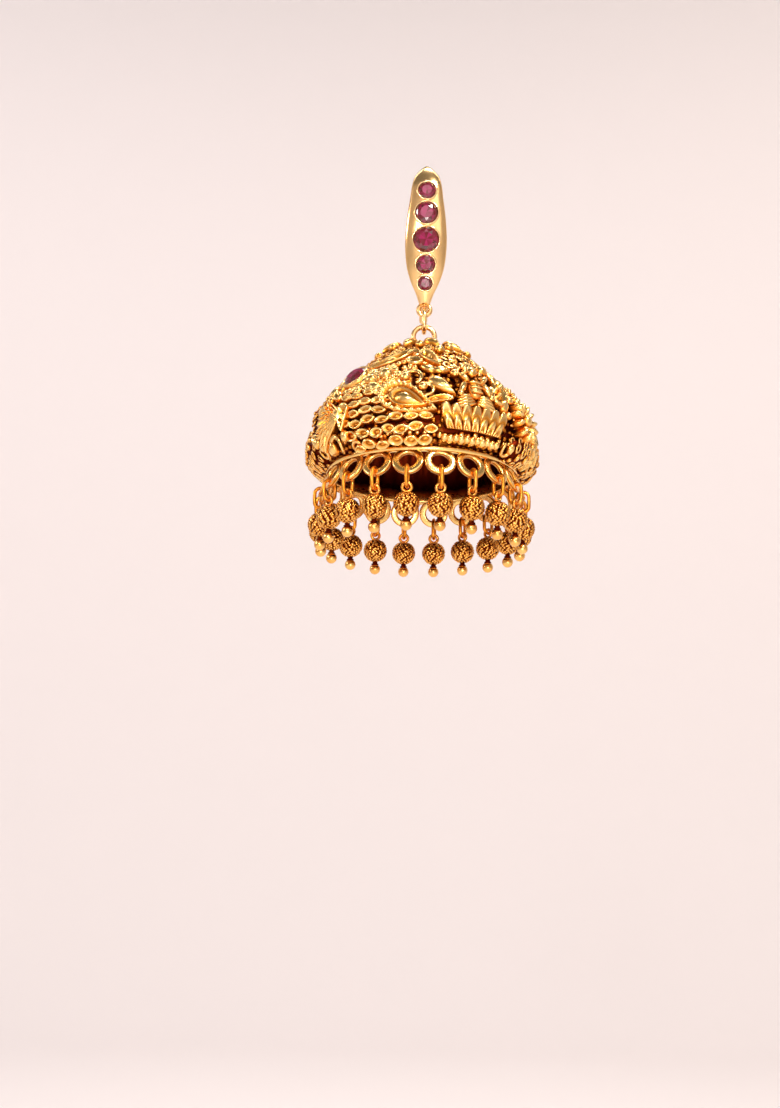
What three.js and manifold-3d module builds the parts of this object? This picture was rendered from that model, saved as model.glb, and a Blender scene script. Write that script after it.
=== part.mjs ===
// Jhumka earring: an ear hook with a jewelled front plate, a jump link, and a bell-shaped dome in cast relief
// with a gallery of rings, each ring holding a wire link and a bead drop.
// Millimetres, +Z up, the front of the earring faces -Y. The origin is the underside of the ear wire's arch, where
// the earring hangs, and the axis of the dome is the Z axis.
import * as THREE from "three";
import { mergeVertices } from "three/addons/utils/BufferGeometryUtils.js";
import Module from "manifold-3d";

const wasm = await Module();
wasm.setup();

// Ear hook
const WIRE_RADIUS = 0.45;
const ARCH_RADIUS = 3.7; // centre line of the wire over the ear
const ARCH_Z = WIRE_RADIUS - ARCH_RADIUS; // level of the arch's centre
const PLATE_BEND = 20.6; // the plate curves back towards the axis at this radius
const PLATE_TOP = -2.7; // distance along the plate, from the level of the arch's centre
const PLATE_END = 12.15;
const PLATE_FRONT = 0.62; // rise of the domed front above the plate's centre line
const PLATE_BACK = 0.42;
// Half the plate's width along its length.
const PLATE_WIDTHS = [
  { along: -2.7, half: 0.75 },
  { along: -1.7, half: 1.3 },
  { along: -0.5, half: 1.58 },
  { along: 1.0, half: 1.76 },
  { along: 3.2, half: 2.05 },
  { along: 5.8, half: 2.2 },
  { along: 8.2, half: 2.0 },
  { along: 9.9, half: 1.5 },
  { along: 11.1, half: 0.95 },
  { along: 12.15, half: 0.6 },
];
const HOOK_RUBIES = [
  { along: 0.36, radius: 0.92 },
  { along: 2.74, radius: 1.17 },
  { along: 5.5, radius: 1.33 },
  { along: 8.0, radius: 0.98 },
  { along: 9.9, radius: 0.74 },
];
const STONE_GAP = 0.06; // between a stone and its seat
const GIRDLE = 0.12;
// Cut of every stone, as shares of its radius.
const PAVILION = 0.55;
const CROWN = 0.3;
const TABLE = 0.58;
const STONE_FACETS = 10;
// Below the arch the ear wire hangs behind the plate and kicks out at its end: y, and mm below the arch's centre.
const WIRE_TAIL = [
  { y: 3.5, below: 3.0 },
  { y: 3.2, below: 6.0 },
  { y: 3.3, below: 8.6 },
  { y: 4.0, below: 10.4 },
  { y: 5.0, below: 11.2 },
];
const WIRE_START = 150; // degrees round the arch, where the wire leaves the plate

// Hanging parts
const LOOP_Z = -15.3;
const LOOP_RADIUS = 0.62;
const LOOP_WIRE = 0.26;
const LINK_WIRE = 0.25;
const LINK_HALF_WIDTH = 0.85;
const RUNNING_GAP = 0.06;
const TOP_RING_RADIUS = 1.12;
const TOP_RING_WIRE = 0.28;
const TOP_RING_Z = -18.32;

// Dome: its outer wall, radius against level, from the apex to the band.
const DOME_PROFILE = [
  { radius: 1.0, z: -19.6 },
  { radius: 2.6, z: -20.25 },
  { radius: 4.45, z: -21.4 },
  { radius: 6.45, z: -23.1 },
  { radius: 8.35, z: -25.1 },
  { radius: 9.9, z: -27.3 },
  { radius: 10.7, z: -29.3 },
  { radius: 11.0, z: -31.1 },
  { radius: 10.7, z: -32.5 },
  { radius: 9.6, z: -33.2 },
];
const WALL = 0.7;
const ROOT = 0.45; // how deep an ornament's foot reaches into the wall

// Gallery of rings, and what hangs from it
const DROPS = 20; // the dome's wall has a flat facet behind each
const GALLERY_RADIUS = 10.0;
const GALLERY_Z = -35.0;
const GALLERY_FLARE = THREE.MathUtils.degToRad(20);
const RING_OUTER = 1.57;
const RING_HOLE = 0.95;
const RING_THICKNESS = 0.5;
const RING_SIDES = 10;
const BAND_RADIUS = 9.6;
const BAND_Z = -33.58;
const BAND_HALF = 0.36; // half the height and half the thickness of the half-round band
const DROP_WIRE = 0.19;
const DROP_LINK_HALF_WIDTH = 0.62;
const DROP_LINK_HEIGHT = 2.1; // between the centre lines of its top and bottom
const EYE_WIRE = 0.16;
const EYE_RADIUS = 0.44;
const EYE_SINK = 0.1; // how far the eye's foot sits in the bead
const BEAD_RADIUS = 1.27;
const BALL_RADIUS = 0.58;
const BALL_DROP = 2.05; // of the plain ball below the bead's centre
const COLLAR_RADIUS = 0.26;

const gold = new THREE.MeshStandardMaterial({ color: 0xc98a2b, metalness: 1, roughness: 0.32 });
const brightGold = new THREE.MeshStandardMaterial({ color: 0xe3b04b, metalness: 1, roughness: 0.2 });
const ruby = new THREE.MeshStandardMaterial({ color: 0x9c1240, metalness: 0, roughness: 0.08 });

// Solids

function solid(geometry) {
  const bare = geometry.clone();
  bare.deleteAttribute("normal");
  bare.deleteAttribute("uv");
  const merged = mergeVertices(bare, 1e-4);
  const triVerts = new Uint32Array(merged.index.array);
  const vertProperties = new Float32Array(merged.attributes.position.array);
  return new wasm.Manifold(new wasm.Mesh({ numProp: 3, vertProperties, triVerts }));
}

function join(solids) {
  return solids.reduce((sum, next) => sum.add(next));
}

function namedMesh(name, body, material) {
  const { numProp, vertProperties, triVerts } = body.getMesh();
  const places = [];
  for (let i = 0; i < vertProperties.length; i += numProp) {
    places.push(vertProperties[i], vertProperties[i + 1], vertProperties[i + 2]);
  }
  const geometry = new THREE.BufferGeometry();
  geometry.setAttribute("position", new THREE.Float32BufferAttribute(places, 3));
  geometry.setIndex([...triVerts]);
  geometry.computeVertexNormals();
  const mesh = new THREE.Mesh(geometry, material);
  mesh.name = name;
  return mesh;
}

// Moves every vertex of a geometry by a function of its place.
function bend(geometry, rule) {
  const bent = geometry.clone();
  const places = bent.attributes.position;
  const point = new THREE.Vector3();
  for (let i = 0; i < places.count; i++) {
    point.fromBufferAttribute(places, i);
    const moved = rule(point);
    places.setXYZ(i, moved.x, moved.y, moved.z);
  }
  return bent;
}

// Draws a regular polygon on a path, one side upright at its right.
function polygon(path, radius, sides) {
  for (let i = 0; i < sides; i++) {
    const angle = ((i + 0.5) / sides) * 2 * Math.PI;
    const corner = [radius * Math.cos(angle), radius * Math.sin(angle)];
    if (i === 0) path.moveTo(...corner);
    else path.lineTo(...corner);
  }
  return path;
}

// A round wire along a curve.
function wire(curve, radius, sides, steps) {
  const section = polygon(new THREE.Shape(), radius, sides);
  return new THREE.ExtrudeGeometry(section, { extrudePath: curve, steps, bevelEnabled: false });
}

// A closed oval ring of round wire in the XZ plane, with straight sides where it is taller than wide.
function ovalLink(halfWidth, height, radius, sides, turns) {
  const ring = new THREE.TorusGeometry(halfWidth, radius, sides, turns);
  const straight = height / 2 - halfWidth;
  ring.rotateX(Math.PI / 2);
  return bend(ring, (p) => new THREE.Vector3(p.x, p.y, p.z + Math.sign(Math.round(p.z * 1e3)) * straight));
}

// The line of the hook's plate in the YZ plane: the front of the arch, then the long bend back to the axis.
function plateLine(along) {
  if (along < 0) {
    const rise = -along / ARCH_RADIUS;
    const place = new THREE.Vector3(0, -ARCH_RADIUS * Math.cos(rise), ARCH_Z + ARCH_RADIUS * Math.sin(rise));
    return { place, out: new THREE.Vector3(0, -Math.cos(rise), Math.sin(rise)) };
  }
  const turn = along / PLATE_BEND;
  const centreY = PLATE_BEND - ARCH_RADIUS;
  const place = new THREE.Vector3(0, centreY - PLATE_BEND * Math.cos(turn), ARCH_Z - PLATE_BEND * Math.sin(turn));
  return { place, out: new THREE.Vector3(0, -Math.cos(turn), -Math.sin(turn)) };
}

function plateHalfWidth(along) {
  const after = Math.max(1, PLATE_WIDTHS.findIndex((row) => row.along >= along - 1e-6));
  const [a, b] = [PLATE_WIDTHS[after - 1], PLATE_WIDTHS[after]];
  return THREE.MathUtils.mapLinear(along, a.along, b.along, a.half, b.half);
}

// A round cut stone, its girdle at z = 0 and its table up: ten sides, bevelled crown, pointed pavilion.
function cutStone(radius) {
  const crown = CROWN * radius;
  return new THREE.LatheGeometry(
    [
      new THREE.Vector2(0, -PAVILION * radius),
      new THREE.Vector2(radius, -GIRDLE),
      new THREE.Vector2(radius, 0),
      new THREE.Vector2(TABLE * radius, crown),
      new THREE.Vector2(0, crown),
    ],
    STONE_FACETS,
  ).rotateX(Math.PI / 2);
}

// Turns a geometry that stands along +Z to stand along a direction, and moves it to a place.
function standing(geometry, place, direction) {
  const turn = new THREE.Quaternion().setFromUnitVectors(new THREE.Vector3(0, 0, 1), direction);
  const matrix = new THREE.Matrix4().compose(place, turn, new THREE.Vector3(1, 1, 1));
  return geometry.clone().applyMatrix4(matrix);
}

// Ear hook

function hookPlate() {
  const tube = new THREE.CylinderGeometry(1, 1, 1, 10, 10).rotateX(Math.PI / 2);
  return bend(tube, (p) => {
    const along = THREE.MathUtils.mapLinear(p.z, 0.5, -0.5, PLATE_TOP, PLATE_END);
    const half = plateHalfWidth(along);
    const { place, out } = plateLine(along);
    const rise = -p.y > 0 ? Math.min(PLATE_FRONT, half) : Math.min(PLATE_BACK, half);
    return place.addScaledVector(out, -p.y * rise).add(new THREE.Vector3(p.x * half, 0, 0));
  });
}

function earWire() {
  const points = [];
  for (let turn = WIRE_START; turn >= 0; turn -= 15) {
    const angle = THREE.MathUtils.degToRad(turn);
    points.push([ARCH_RADIUS * Math.cos(angle), ARCH_Z + ARCH_RADIUS * Math.sin(angle)]);
  }
  points.push(...WIRE_TAIL.map(({ y, below }) => [y, ARCH_Z - below]));
  const curve = new THREE.CatmullRomCurve3(points.map(([y, z]) => new THREE.Vector3(0, y, z)));
  return wire(curve, WIRE_RADIUS, 6, 20);
}

// The hole that a stone drops into, open above its girdle and closed below its point.
function stoneSeat(radius) {
  const depth = PAVILION * radius + STONE_GAP;
  const height = 1;
  return new THREE.CylinderGeometry(radius + STONE_GAP, radius + STONE_GAP, depth + height, STONE_FACETS)
    .rotateX(Math.PI / 2)
    .translate(0, 0, (height - depth) / 2);
}

const loopRing = new THREE.TorusGeometry(LOOP_RADIUS, LOOP_WIRE, 6, 12).rotateX(Math.PI / 2).translate(0, 0, LOOP_Z);
const seats = HOOK_RUBIES.map(({ along, radius }) => {
  const { place, out } = plateLine(along);
  const girdle = place.clone().addScaledVector(out, PLATE_FRONT);
  return { girdle, out, radius };
});
const hookBody = join([solid(hookPlate()), solid(earWire()), solid(loopRing)]);
const hookSeated = seats.reduce(
  (body, { girdle, out, radius }) =>
    body.subtract(solid(standing(stoneSeat(radius), girdle, out))),
  hookBody,
);

// Jump link: one side lies in the hook's loop, the other in the dome's top ring.

const linkTop = LOOP_Z - LOOP_RADIUS + LOOP_WIRE + LINK_WIRE + RUNNING_GAP;
const linkBottom = TOP_RING_Z + TOP_RING_RADIUS - TOP_RING_WIRE - LINK_WIRE - RUNNING_GAP;
const jumpLink = ovalLink(LINK_HALF_WIDTH, linkTop - linkBottom, LINK_WIRE, 6, 16)
  .rotateZ(Math.PI / 2)
  .translate(0, 0, (linkTop + linkBottom) / 2);

// Dome

const profileCurve = new THREE.SplineCurve(DOME_PROFILE.map(({ radius, z }) => new THREE.Vector2(radius, z)));
const PROFILE_LENGTH = profileCurve.getLength();

// A place on the dome: degrees round from the front, mm down the profile from the apex, mm out from the wall.
function onDome(degrees, down, out = 0) {
  const share = THREE.MathUtils.clamp(down / PROFILE_LENGTH, 0, 1);
  const at = profileCurve.getPointAt(share);
  const along = profileCurve.getTangentAt(share);
  const angle = THREE.MathUtils.degToRad(degrees);
  const radius = at.x - along.y * out;
  return new THREE.Vector3(radius * Math.sin(angle), -radius * Math.cos(angle), at.y + along.x * out);
}

// Lays a flat ornament on the dome. Its x runs round the dome, its y up the wall, its z out of the wall.
function laid(geometry, degrees, down) {
  const girth = profileCurve.getPointAt(THREE.MathUtils.clamp(down / PROFILE_LENGTH, 0, 1)).x;
  return bend(geometry, (p) =>
    onDome(degrees + THREE.MathUtils.radToDeg(p.x / girth), down - p.y, Math.max(p.z, -ROOT)),
  );
}

function domeShell() {
  const outer = [];
  const inner = [];
  const stations = 9;
  for (let i = 0; i <= stations; i++) {
    const at = profileCurve.getPointAt(i / stations);
    const along = profileCurve.getTangentAt(i / stations);
    outer.push(at.clone());
    if (i % 2 === 1) inner.push(new THREE.Vector2(at.x + along.y * WALL, at.y - along.x * WALL));
  }
  const crown = new THREE.Vector2(0, DOME_PROFILE[0].z);
  const ceiling = new THREE.Vector2(0, DOME_PROFILE[0].z - 1.2 * WALL);
  const band = [
    new THREE.Vector2(BAND_RADIUS - BAND_HALF, BAND_Z),
    new THREE.Vector2(BAND_RADIUS, BAND_Z - BAND_HALF),
    new THREE.Vector2(BAND_RADIUS + BAND_HALF, BAND_Z - BAND_HALF / 2),
    new THREE.Vector2(BAND_RADIUS + BAND_HALF, BAND_Z + BAND_HALF / 2),
  ];
  const profile = [ceiling, ...inner, ...band, ...outer.reverse(), crown];
  return new THREE.LatheGeometry(profile, DROPS).rotateX(Math.PI / 2);
}

const blob = (wide, tall, high) => new THREE.SphereGeometry(1, 6, 4).rotateX(Math.PI / 2).scale(wide, tall, high);
const granule = (radius) => new THREE.IcosahedronGeometry(radius, 0);
const turned = (geometry, degrees) => geometry.rotateZ(THREE.MathUtils.degToRad(degrees));

// Flat ornament with a pointed end: a leaf or a wing, cut from a sheet and laid on the wall.
function leaf(length, width, rise) {
  const outline = new THREE.Shape();
  outline.moveTo(-length / 2, 0);
  outline.quadraticCurveTo(-length / 6, width, length / 2, 0);
  outline.quadraticCurveTo(-length / 6, -width, -length / 2, 0);
  return new THREE.ExtrudeGeometry(outline, {
    depth: rise + ROOT,
    bevelEnabled: false,
    curveSegments: 3,
  }).translate(0, 0, -ROOT);
}

// A ribbed pad: a block whose face has ridges across it, and whose outline a taper function narrows.
function ribbedPad({ width, height, rise, columns, rows, ridge, taper }) {
  const block = new THREE.BoxGeometry(1, 1, 1, columns, rows, 1);
  return bend(block, (p) => {
    const across = Math.round((p.x + 0.5) * columns);
    const up = Math.round((p.y + 0.5) * rows);
    const face = rise + ridge(across, up);
    const narrow = taper(p.x, p.y);
    return new THREE.Vector3(p.x * width * narrow.x, p.y * height * narrow.y + narrow.shift, p.z > 0 ? face : -ROOT);
  });
}

// Peacock: a pad of feather rows that trails to one side and narrows to the tail, and a pointed wing over it.
function peacock() {
  const feathers = ribbedPad({
    width: 8.6,
    height: 3.9,
    rise: 0.5,
    columns: 6,
    rows: 8,
    ridge: (across, up) => (up % 2 ? 0.4 : 0),
    taper: (x, y) => ({ x: 1, y: 0.62 + 0.38 * Math.cos(2.6 * x), shift: 0.5 * x * x - 0.25 - 0.9 * x * y }),
  });
  return [
    [feathers, -21, 15.2],
    [turned(leaf(4.2, 1.7, 1.35), -28), -9.5, 14.6],
  ];
}

// Lotus seat: upright petals, wider at the top, with a seated figure on it.
function lotusAndFigure() {
  const petals = 7;
  const seat = ribbedPad({
    width: 6.9,
    height: 2.5,
    rise: 0.75,
    columns: 2 * petals,
    rows: 1,
    ridge: (across, up) => (across % 2 ? 0.45 : 0) + 0.3 * up,
    taper: (x, y) => ({ x: 0.92 + 0.3 * y, y: 1, shift: 0.5 * x * x }),
  });
  return [
    [seat, 25, 16.1],
    [blob(1.9, 0.8, 1.3), 25, 14.3], // folded legs
    [blob(1.1, 1.3, 1.4), 25, 12.9], // trunk and arms
    [granule(0.9).translate(0, 0, 0.6), 25.5, 11.2], // head
  ];
}

// Flower boss: a rosette of petals that stands well out from the wall, with a dimple at its centre.
function flowerBoss(radius, rise) {
  const petals = 5;
  const rosette = new THREE.LatheGeometry(
    [
      new THREE.Vector2(0, -ROOT),
      new THREE.Vector2(radius, -ROOT),
      new THREE.Vector2(radius, 0.6 * rise),
      new THREE.Vector2(0.6 * radius, rise),
      new THREE.Vector2(0, 0.6 * rise),
    ],
    4 * petals,
  ).rotateX(Math.PI / 2);
  return bend(rosette, (p) => {
    const swell = 1 + 0.16 * Math.cos(petals * Math.atan2(p.x, p.y));
    return new THREE.Vector3(p.x * swell, p.y * swell, p.z);
  });
}

function granuleCluster(degrees, down, count, spread) {
  const pieces = [];
  const golden = Math.PI * (3 - Math.sqrt(5));
  for (let i = 0; i < count; i++) {
    const reach = spread * Math.sqrt((i + 0.5) / count);
    const place = new THREE.Vector3(reach * Math.cos(i * golden), 0.6 * reach * Math.sin(i * golden), 0.25);
    pieces.push([granule(0.75).translate(place.x, place.y, place.z), degrees, down]);
  }
  return pieces;
}

// Stone collet on the shoulder: a short tube with a floor, standing square to the wall.
const DOME_RUBY = { degrees: -46, down: 10.3, radius: 1.3, rise: 0.95 };
const COLLET_WALL = 0.24;

function shoulderFrame(turn) {
  const foot = onDome(DOME_RUBY.degrees + turn, DOME_RUBY.down, 0);
  const tip = onDome(DOME_RUBY.degrees + turn, DOME_RUBY.down, 1);
  const out = tip.clone().sub(foot).normalize();
  return { foot, out, girdle: foot.clone().addScaledVector(out, DOME_RUBY.rise) };
}

// One half of the dome's relief, as it is seen from the front. The other half repeats it.
function reliefPanel() {
  return [
    ...peacock(),
    ...lotusAndFigure(),
    [flowerBoss(1.75, 1.5), 61, 14.9],
    ...granuleCluster(62, 17.0, 3, 1.3),
    [flowerBoss(1.6, 1.3), -82, 13.2],
    ...granuleCluster(-84, 16.2, 4, 1.8),
    [turned(leaf(3.4, 1.5, 0.9), 80), -58, 15.2], // feather fan and the boss under it
    [blob(0.8, 0.7, 1.0), -50, 17.0],
    [turned(leaf(4.6, 1.0, 0.7), 38), -27, 7.6], // long leaves near the apex
    [turned(leaf(4.0, 0.9, 0.7), -60), 5, 8.0],
    [turned(leaf(3.4, 0.9, 0.9), -35), 8.5, 12.6],
    [turned(leaf(3.6, 1.0, 0.7), 65), -80, 8.4],
    [blob(1.5, 0.9, 0.9), -26, 11.2], // bunches of small ornament on the shoulder
    [blob(1.3, 1.0, 0.9), 42, 10.6],
    [blob(1.4, 1.0, 0.8), 24, 6.6],
  ];
}

function galleryRing() {
  const face = polygon(new THREE.Shape(), RING_OUTER / Math.cos(Math.PI / RING_SIDES), RING_SIDES);
  face.holes.push(polygon(new THREE.Path(), RING_HOLE, RING_SIDES));
  return new THREE.ExtrudeGeometry(face, { depth: RING_THICKNESS, bevelEnabled: false })
    .translate(0, 0, -RING_THICKNESS / 2)
    .rotateX(Math.PI / 2 - GALLERY_FLARE)
    .translate(0, -GALLERY_RADIUS, GALLERY_Z);
}

// Round the axis: place i of the gallery, the first pair astride the front.
const dropAngle = (i) => ((i + 0.5) / DROPS) * 2 * Math.PI;
const roundAxis = (geometry, i) => geometry.clone().rotateZ(dropAngle(i));

const topRing = new THREE.TorusGeometry(TOP_RING_RADIUS, TOP_RING_WIRE, 6, 12)
  .rotateX(Math.PI / 2)
  .translate(0, 0, TOP_RING_Z);
const gallery = Array.from({ length: DROPS }, (_, i) => solid(roundAxis(galleryRing(), i)));
const shellBody = solid(domeShell());
const relief = [0, 180].flatMap((turn) =>
  reliefPanel().map(([geometry, degrees, down]) => solid(laid(geometry, degrees + turn, down))),
);
const collets = [0, 180].map((turn) => {
  const { foot, out } = shoulderFrame(turn);
  const radius = DOME_RUBY.radius + STONE_GAP + COLLET_WALL;
  const tube = new THREE.CylinderGeometry(radius, radius, DOME_RUBY.rise + 0.5, 12).rotateX(Math.PI / 2);
  return solid(standing(tube, foot.clone().addScaledVector(out, DOME_RUBY.rise / 2 - 0.2), out));
});
const domeJoined = join([shellBody, solid(topRing), ...gallery, ...relief, ...collets]);
const domeBody = [0, 180].reduce((body, turn) => {
  const { girdle, out } = shoulderFrame(turn);
  return body.subtract(solid(standing(stoneSeat(DOME_RUBY.radius), girdle, out)));
}, domeJoined);

// Drops: a link through each gallery ring, and a bead that hangs from the link by its pin's eye.

const barOffset = (RING_OUTER + RING_HOLE) / 2;
const barRadius = GALLERY_RADIUS + barOffset * Math.sin(GALLERY_FLARE);
const barZ = GALLERY_Z - barOffset * Math.cos(GALLERY_FLARE);
const dropLinkTop = barZ + (RING_OUTER - RING_HOLE) / 2 + DROP_WIRE + RUNNING_GAP;
const dropLinkBottom = dropLinkTop - DROP_LINK_HEIGHT;
const eyeTop = dropLinkBottom + DROP_WIRE + EYE_WIRE + RUNNING_GAP;
const beadZ = eyeTop - 2 * EYE_RADIUS + EYE_SINK - BEAD_RADIUS;

const dropLink = ovalLink(DROP_LINK_HALF_WIDTH, DROP_LINK_HEIGHT, DROP_WIRE, 5, 10)
  .rotateZ(Math.PI / 2)
  .translate(0, -barRadius, (dropLinkTop + dropLinkBottom) / 2);

function beadDrop() {
  const at = (radius, latitude, centre) => {
    const angle = THREE.MathUtils.degToRad(latitude);
    return new THREE.Vector2(radius * Math.cos(angle), centre + radius * Math.sin(angle));
  };
  const outline = [
    new THREE.Vector2(0, -BALL_DROP - BALL_RADIUS),
    at(BALL_RADIUS, -35, -BALL_DROP),
    at(BALL_RADIUS, 30, -BALL_DROP),
    new THREE.Vector2(COLLAR_RADIUS, -BALL_DROP + 0.65),
    at(BEAD_RADIUS, -48, 0),
    at(BEAD_RADIUS, 0, 0),
    at(BEAD_RADIUS, 48, 0),
    new THREE.Vector2(0, BEAD_RADIUS),
  ];
  const bead = new THREE.LatheGeometry(outline, 10).rotateX(Math.PI / 2).translate(0, -barRadius, beadZ);
  const eye = new THREE.TorusGeometry(EYE_RADIUS, EYE_WIRE, 5, 8)
    .rotateX(Math.PI / 2)
    .translate(0, -barRadius, eyeTop - EYE_RADIUS);
  return join([solid(bead), solid(eye)]);
}

// The earring

const earring = new THREE.Group();
earring.add(namedMesh("ear_hook", hookSeated, brightGold));
seats.forEach(({ girdle, out, radius }, i) => {
  earring.add(namedMesh(`hook_ruby_${i + 1}`, solid(standing(cutStone(radius), girdle, out)), ruby));
});
earring.add(namedMesh("jump_link", solid(jumpLink), brightGold));
earring.add(namedMesh("jhumka_dome", domeBody, gold));
["front", "back"].forEach((side, i) => {
  const { girdle, out } = shoulderFrame(180 * i);
  earring.add(namedMesh(`dome_ruby_${side}`, solid(standing(cutStone(DOME_RUBY.radius), girdle, out)), ruby));
});
const bead = beadDrop();
for (let i = 0; i < DROPS; i++) {
  const number = String(i + 1).padStart(2, "0");
  earring.add(namedMesh(`drop_link_${number}`, solid(roundAxis(dropLink, i)), gold));
  earring.add(namedMesh(`bead_drop_${number}`, bead.rotate([0, 0, THREE.MathUtils.radToDeg(dropAngle(i))]), gold));
}

export default earring;
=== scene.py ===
import math
import random

import bmesh
import bpy
from mathutils import Matrix, Vector, kdtree


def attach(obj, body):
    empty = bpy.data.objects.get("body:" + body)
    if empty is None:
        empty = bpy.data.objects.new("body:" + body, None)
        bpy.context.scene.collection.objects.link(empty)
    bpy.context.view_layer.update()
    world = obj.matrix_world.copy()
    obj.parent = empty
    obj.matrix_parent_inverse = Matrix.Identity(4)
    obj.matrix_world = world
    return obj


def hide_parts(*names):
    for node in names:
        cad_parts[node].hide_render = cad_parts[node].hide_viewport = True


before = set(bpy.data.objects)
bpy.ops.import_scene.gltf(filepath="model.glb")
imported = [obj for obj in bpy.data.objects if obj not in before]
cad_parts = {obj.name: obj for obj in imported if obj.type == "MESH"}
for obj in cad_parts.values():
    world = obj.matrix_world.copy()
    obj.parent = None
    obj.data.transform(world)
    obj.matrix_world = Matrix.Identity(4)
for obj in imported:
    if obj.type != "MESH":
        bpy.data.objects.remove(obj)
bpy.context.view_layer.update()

# Ear hook
# The front plate is a long domed leaf of cast brass with five round seats, bent back towards its foot. A
# round ear wire arches from its tip and hangs down behind it, and a small ring is soldered under its foot.
# It is polished and plated in bright yellow gold. Sizes are in mm and become metres when a piece is kept.
wire_radius = 0.45
wire_sides = 16
wire_steps = 120
arch_radius = 3.7
arch_level = wire_radius - arch_radius
plate_bend = 20.6
plate_dome = 0.62
plate_back = 0.42
plate_top = -2.7
plate_end = 12.15
plate_sides = 40
plate_steps = 56
# half widths of the plate and radii of its seats, each at a distance down its line
plate_halves = [(-2.7, 0.75), (-1.7, 1.3), (-0.5, 1.58), (1.0, 1.76), (3.2, 2.05)]
plate_halves += [(5.8, 2.2), (8.2, 2.0), (9.9, 1.5), (11.1, 0.95), (12.15, 0.6)]
stone_seats = [(0.36, 0.92), (2.74, 1.17), (5.5, 1.33), (8.0, 0.98), (9.9, 0.74)]
loop_level = -15.3
loop_radius = 0.62
loop_wire = 0.26
rim_wire = 0.1
rim_stand = 0.02
# hook_crest_highlight is the bright tone painted on the rims round the seats as a highlight
hook_patina = (0.6, 0.2, 0.03)
hook_body = (1.0, 0.62, 0.24)
hook_crest_highlight = (1.0, 0.72, 0.36)
smooth_gold = 0.62


def gold_plate(name, deep, body, bright, satin, grain, dents):
    """Plated gold: dark and dull where the relief attribute is low, bright and smoother on the crests. The
    dark low tone is partly patina and partly painted shade in the recesses.
    """
    cloud_scale = 900
    cloud_depth = 0.5
    recess_dullness = 0.25
    recess_level = 0.14
    crest_level = 0.95
    dent_depth = 0.00005
    material = bpy.data.materials.new(name)
    material.use_nodes = True
    nodes = material.node_tree.nodes
    links = material.node_tree.links
    shader = nodes["Principled BSDF"]
    shader.inputs["Metallic"].default_value = 1.0
    place = nodes.new("ShaderNodeTexCoord")
    relief = nodes.new("ShaderNodeAttribute")
    relief.attribute_name = "relief"
    clouds = nodes.new("ShaderNodeTexNoise")
    clouds.inputs["Scale"].default_value = cloud_scale
    clouds.inputs["Detail"].default_value = 4
    links.new(place.outputs["Object"], clouds.inputs["Vector"])
    patches = nodes.new("ShaderNodeMath")
    patches.operation = "MULTIPLY_ADD"
    patches.inputs[1].default_value = cloud_depth
    patches.inputs[2].default_value = -cloud_depth / 2
    links.new(clouds.outputs["Fac"], patches.inputs[0])
    height = nodes.new("ShaderNodeMath")
    links.new(relief.outputs["Fac"], height.inputs[0])
    links.new(patches.outputs["Value"], height.inputs[1])
    # painted shade: the ramp's dark low end darkens the recesses, partly as patina and partly as painted
    # shade
    tone = nodes.new("ShaderNodeValToRGB")
    tone.color_ramp.elements[0].color = (*deep, 1)
    tone.color_ramp.elements[0].position = recess_level
    tone.color_ramp.elements[1].color = (*bright, 1)
    tone.color_ramp.elements[1].position = crest_level
    middle = tone.color_ramp.elements.new(0.5)
    middle.color = (*body, 1)
    links.new(height.outputs["Value"], tone.inputs["Fac"])
    links.new(tone.outputs["Color"], shader.inputs["Base Color"])
    gloss = nodes.new("ShaderNodeMapRange")
    gloss.inputs["To Min"].default_value = satin + recess_dullness
    gloss.inputs["To Max"].default_value = satin
    links.new(height.outputs["Value"], gloss.inputs["Value"])
    links.new(gloss.outputs["Result"], shader.inputs["Roughness"])
    grains = nodes.new("ShaderNodeTexNoise")
    grains.inputs["Scale"].default_value = grain
    grains.inputs["Detail"].default_value = 3
    links.new(place.outputs["Object"], grains.inputs["Vector"])
    bump = nodes.new("ShaderNodeBump")
    bump.inputs["Strength"].default_value = dents
    bump.inputs["Distance"].default_value = dent_depth
    links.new(grains.outputs["Fac"], bump.inputs["Height"])
    links.new(bump.outputs["Normal"], shader.inputs["Normal"])
    return material


def follow(rows, x):
    """The value at x of a smooth line through rows of (x, value)."""
    last = len(rows) - 1
    i = max(0, min(last - 1, sum(1 for row in rows if row[0] <= x) - 1))

    def slope(k):
        before = rows[max(0, k - 1)]
        after = rows[min(last, k + 1)]
        return (after[1] - before[1]) / (after[0] - before[0])

    span = rows[i + 1][0] - rows[i][0]
    t = max(0.0, min(1.0, (x - rows[i][0]) / span))
    a = rows[i][1]
    b = rows[i + 1][1]
    ease = t * t * (3 - 2 * t)
    lift = slope(i) * t * (1 - t) ** 2 - slope(i + 1) * t * t * (1 - t)
    return a + (b - a) * ease + span * lift


def draw_bar(bm, sides, sections):
    """Draws a bar: a ring of corners is extruded through sections that place each corner by its angle."""
    turn = bm.verts.layers.float.get("turn") or bm.verts.layers.float.new("turn")
    ring = bmesh.ops.create_circle(bm, segments=sides, radius=1)["verts"]
    for corner in ring:
        corner[turn] = math.atan2(corner.co.y, corner.co.x)
    edges = list({edge for corner in ring for edge in corner.link_edges})
    ends = list(edges)
    for number, section in enumerate(sections):
        if number:
            made = bmesh.ops.extrude_edge_only(bm, edges=edges)["geom"]
            ring = [item for item in made if isinstance(item, bmesh.types.BMVert)]
            new = set(ring)
            drawn = [item for item in made if isinstance(item, bmesh.types.BMEdge)]
            edges = [edge for edge in drawn if set(edge.verts) <= new]
        for corner in ring:
            corner.co = section(corner[turn])
    bmesh.ops.holes_fill(bm, edges=ends, sides=0)
    bmesh.ops.holes_fill(bm, edges=edges, sides=0)


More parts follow.
